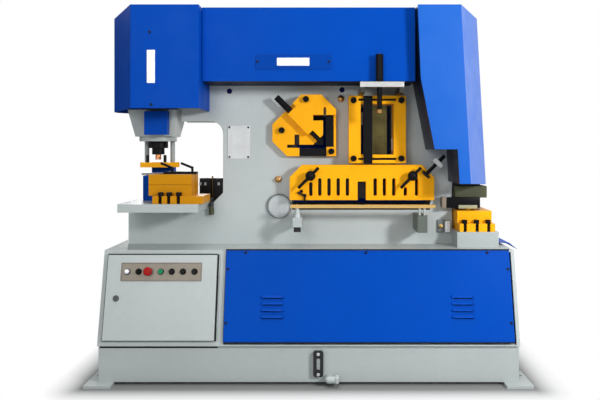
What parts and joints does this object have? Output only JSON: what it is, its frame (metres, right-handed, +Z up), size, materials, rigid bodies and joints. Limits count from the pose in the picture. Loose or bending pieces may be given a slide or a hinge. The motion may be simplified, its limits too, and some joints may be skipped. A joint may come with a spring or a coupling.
{
  "type": "ironworker machine",
  "caption": "Floor-standing hydraulic ironworker with a punch station, angle, section and flat-bar shears and a corner notcher on a sloped cabinet base.",
  "frame": {"origin": "floor level, centre of the four anchor holes in the feet", "axes": "+X along the machine from the punch end to the notcher, +Y from the operator's side to the back, +Z up"},
  "size_m": [2.081, 0.762, 1.778],
  "materials": {
    "blue_paint": "semi-gloss blue enamel",
    "grey_paint": "semi-gloss light grey enamel",
    "yellow_paint": "semi-gloss yellow enamel",
    "black_steel": "blackened steel with a thin oil film",
    "bare_steel": "machined steel",
    "screw_steel": "blackened screws",
    "lock_chrome": "polished chrome",
    "rocker_steel": "oiled plate steel",
    "brass": "bright drawn brass",
    "copper": "copper-coloured coated tool steel",
    "olive_steel": "oiled olive-brown tool steel",
    "khaki_paint": "khaki primer",
    "box_plastic": "moulded black plastic",
    "control_metal": "brushed bronze-anodised aluminium",
    "lamp_white": "translucent white lens",
    "stop_red": "red moulded plastic",
    "start_green": "green moulded plastic",
    "control_black": "black moulded plastic",
    "motor_paint": "grey-blue enamel"
  },
  "bodies": {
    "machine": {"punch_hood": "blue_paint", "beam_cover": "blue_paint", "shear_hood": "blue_paint", "front_panel": "blue_paint", "ram_cover": "blue_paint", "bolster": "blue_paint", "scrap_chute": "blue_paint", "base_frame": "grey_paint", "front_plate": "grey_paint", "rear_plate": "grey_paint", "punch_table": "grey_paint", "notch_table": "grey_paint", "ram_guide": "grey_paint", "side_brackets": "grey_paint", "cylinders": "grey_paint", "stripper": "yellow_paint", "tool_block": "yellow_paint", "angle_plate": "yellow_paint", "angle_clamp_plate": "yellow_paint", "section_frame": "yellow_paint", "hold_down_plate": "yellow_paint", "notch_die": "yellow_paint", "gauge_bar": "black_steel", "fixed_blades": "black_steel", "socket_screws": "black_steel", "pivot_pin": "bare_steel", "section_crossbar": "bare_steel", "die": "bare_steel", "cover_screws": "screw_steel", "table_bar": "brass", "switch_boxes": "box_plastic", "oil_gauge": "box_plastic", "pump_motor": "motor_paint"},
    "punch_slide": {"punch_ram": "bare_steel", "punch_holder": "black_steel", "punch": "copper"},
    "rocker_arm": {"rocker": "rocker_steel", "angle_blade": "black_steel", "section_blade": "olive_steel", "flat_blade": "black_steel", "notch_ram": "khaki_paint", "notch_punch": "black_steel"},
    "shear_piston": {"shear_rod": "bare_steel"},
    "door_leaf": {"door": "grey_paint", "control_plate": "control_metal", "signal_lamp": "lamp_white"},
    "lock": {"door_lock": "lock_chrome"},
    "left_selector_knob": {"left_selector": "control_black"},
    "right_selector_knob": {"right_selector": "control_black"},
    "stop_push": {"stop_button": "stop_red"},
    "start_push": {"start_button": "start_green"},
    "punch_push": {"punch_button": "control_black"},
    "shear_push": {"shear_button": "control_black"},
    "angle_spindle": {"angle_screw": "black_steel"},
    "section_spindle": {"section_screw": "black_steel"},
    "left_hold_spindle": {"left_hold_screw": "black_steel"},
    "right_hold_spindle": {"right_hold_screw": "black_steel"},
    "corner_spindle": {"corner_screw": "black_steel"},
    "section_guide": {"section_guide_bar": "black_steel"},
    "lever": {"gauge_lever": "black_steel"}
  },
  "joints": [
    {"name": "punch_stroke", "type": "slide", "parent": "machine", "child": "punch_slide", "axis": [0, 0, -1], "range_m": [0, 0.07]},
    {"name": "rocker_swing", "type": "hinge", "parent": "machine", "child": "rocker_arm", "pos_m": [-0.16, 0, 0.809], "axis": [0, 1, 0], "range_deg": [0, 3.2]},
    {"name": "shear_piston_slide", "type": "slide", "parent": "machine", "child": "shear_piston", "axis": [0, 0, -1], "range_m": [0, 0.046]},
    {"name": "door_swing", "type": "hinge", "parent": "machine", "child": "door_leaf", "pos_m": [-0.43, -0.34706, 0.39952], "axis": [0, 0.2313, 0.9729], "range_deg": [0, 110]},
    {"name": "lock_turn", "type": "hinge", "parent": "door_leaf", "child": "lock", "pos_m": [-0.902, -0.35679, 0.40184], "axis": [0, -0.9729, 0.2313], "range_deg": [0, 90]},
    {"name": "left_selector_turn", "type": "hinge", "parent": "door_leaf", "child": "left_selector_knob", "pos_m": [-0.804, -0.33028, 0.52196], "axis": [0, -0.9729, 0.2313], "range_deg": [-45, 45]},
    {"name": "right_selector_turn", "type": "hinge", "parent": "door_leaf", "child": "right_selector_knob", "pos_m": [-0.648, -0.33028, 0.52196], "axis": [0, -0.9729, 0.2313], "range_deg": [-45, 45]},
    {"name": "stop_press", "type": "slide", "parent": "door_leaf", "child": "stop_push", "axis": [0, 0.9729, -0.2313], "range_m": [0, 0.004], "stiffness_N_per_m": 800},
    {"name": "start_press", "type": "slide", "parent": "door_leaf", "child": "start_push", "axis": [0, 0.9729, -0.2313], "range_m": [0, 0.004], "stiffness_N_per_m": 800},
    {"name": "punch_press", "type": "slide", "parent": "door_leaf", "child": "punch_push", "axis": [0, 0.9729, -0.2313], "range_m": [0, 0.004], "stiffness_N_per_m": 800},
    {"name": "shear_press", "type": "slide", "parent": "door_leaf", "child": "shear_push", "axis": [0, 0.9729, -0.2313], "range_m": [0, 0.004], "stiffness_N_per_m": 800},
    {"name": "angle_screw_turn", "type": "hinge", "parent": "machine", "child": "angle_spindle", "pos_m": [-0.17, -0.1325, 1.362], "axis": [0.7071, 0, -0.7071], "continuous": true},
    {"name": "section_screw_turn", "type": "hinge", "parent": "machine", "child": "section_spindle", "pos_m": [0.334, -0.317, 1.4], "axis": [0, 0, 1], "continuous": true},
    {"name": "left_hold_turn", "type": "hinge", "parent": "machine", "child": "left_hold_spindle", "pos_m": [0.003, -0.192, 0.968], "axis": [0, 1, 0], "continuous": true},
    {"name": "right_hold_turn", "type": "hinge", "parent": "machine", "child": "right_hold_spindle", "pos_m": [0.509, -0.192, 0.968], "axis": [0, 1, 0], "continuous": true},
    {"name": "corner_screw_turn", "type": "hinge", "parent": "machine", "child": "corner_spindle", "pos_m": [0.572, -0.165, 0.968], "axis": [0.7071, 0, 0.7071], "continuous": true},
    {"name": "section_guide_slide", "type": "slide", "parent": "machine", "child": "section_guide", "axis": [1, 0, 0], "range_m": [-0.03, 0.12]},
    {"name": "gauge_lever_turn", "type": "hinge", "parent": "machine", "child": "lever", "pos_m": [-0.026, -0.16, 0.868], "axis": [0, 1, 0], "range_deg": [-40, 50]}
  ],
  "couplings": [
    {"joint": "shear_piston_slide", "follows": "rocker_swing", "m_per_rad": 0.7905}
  ]
}
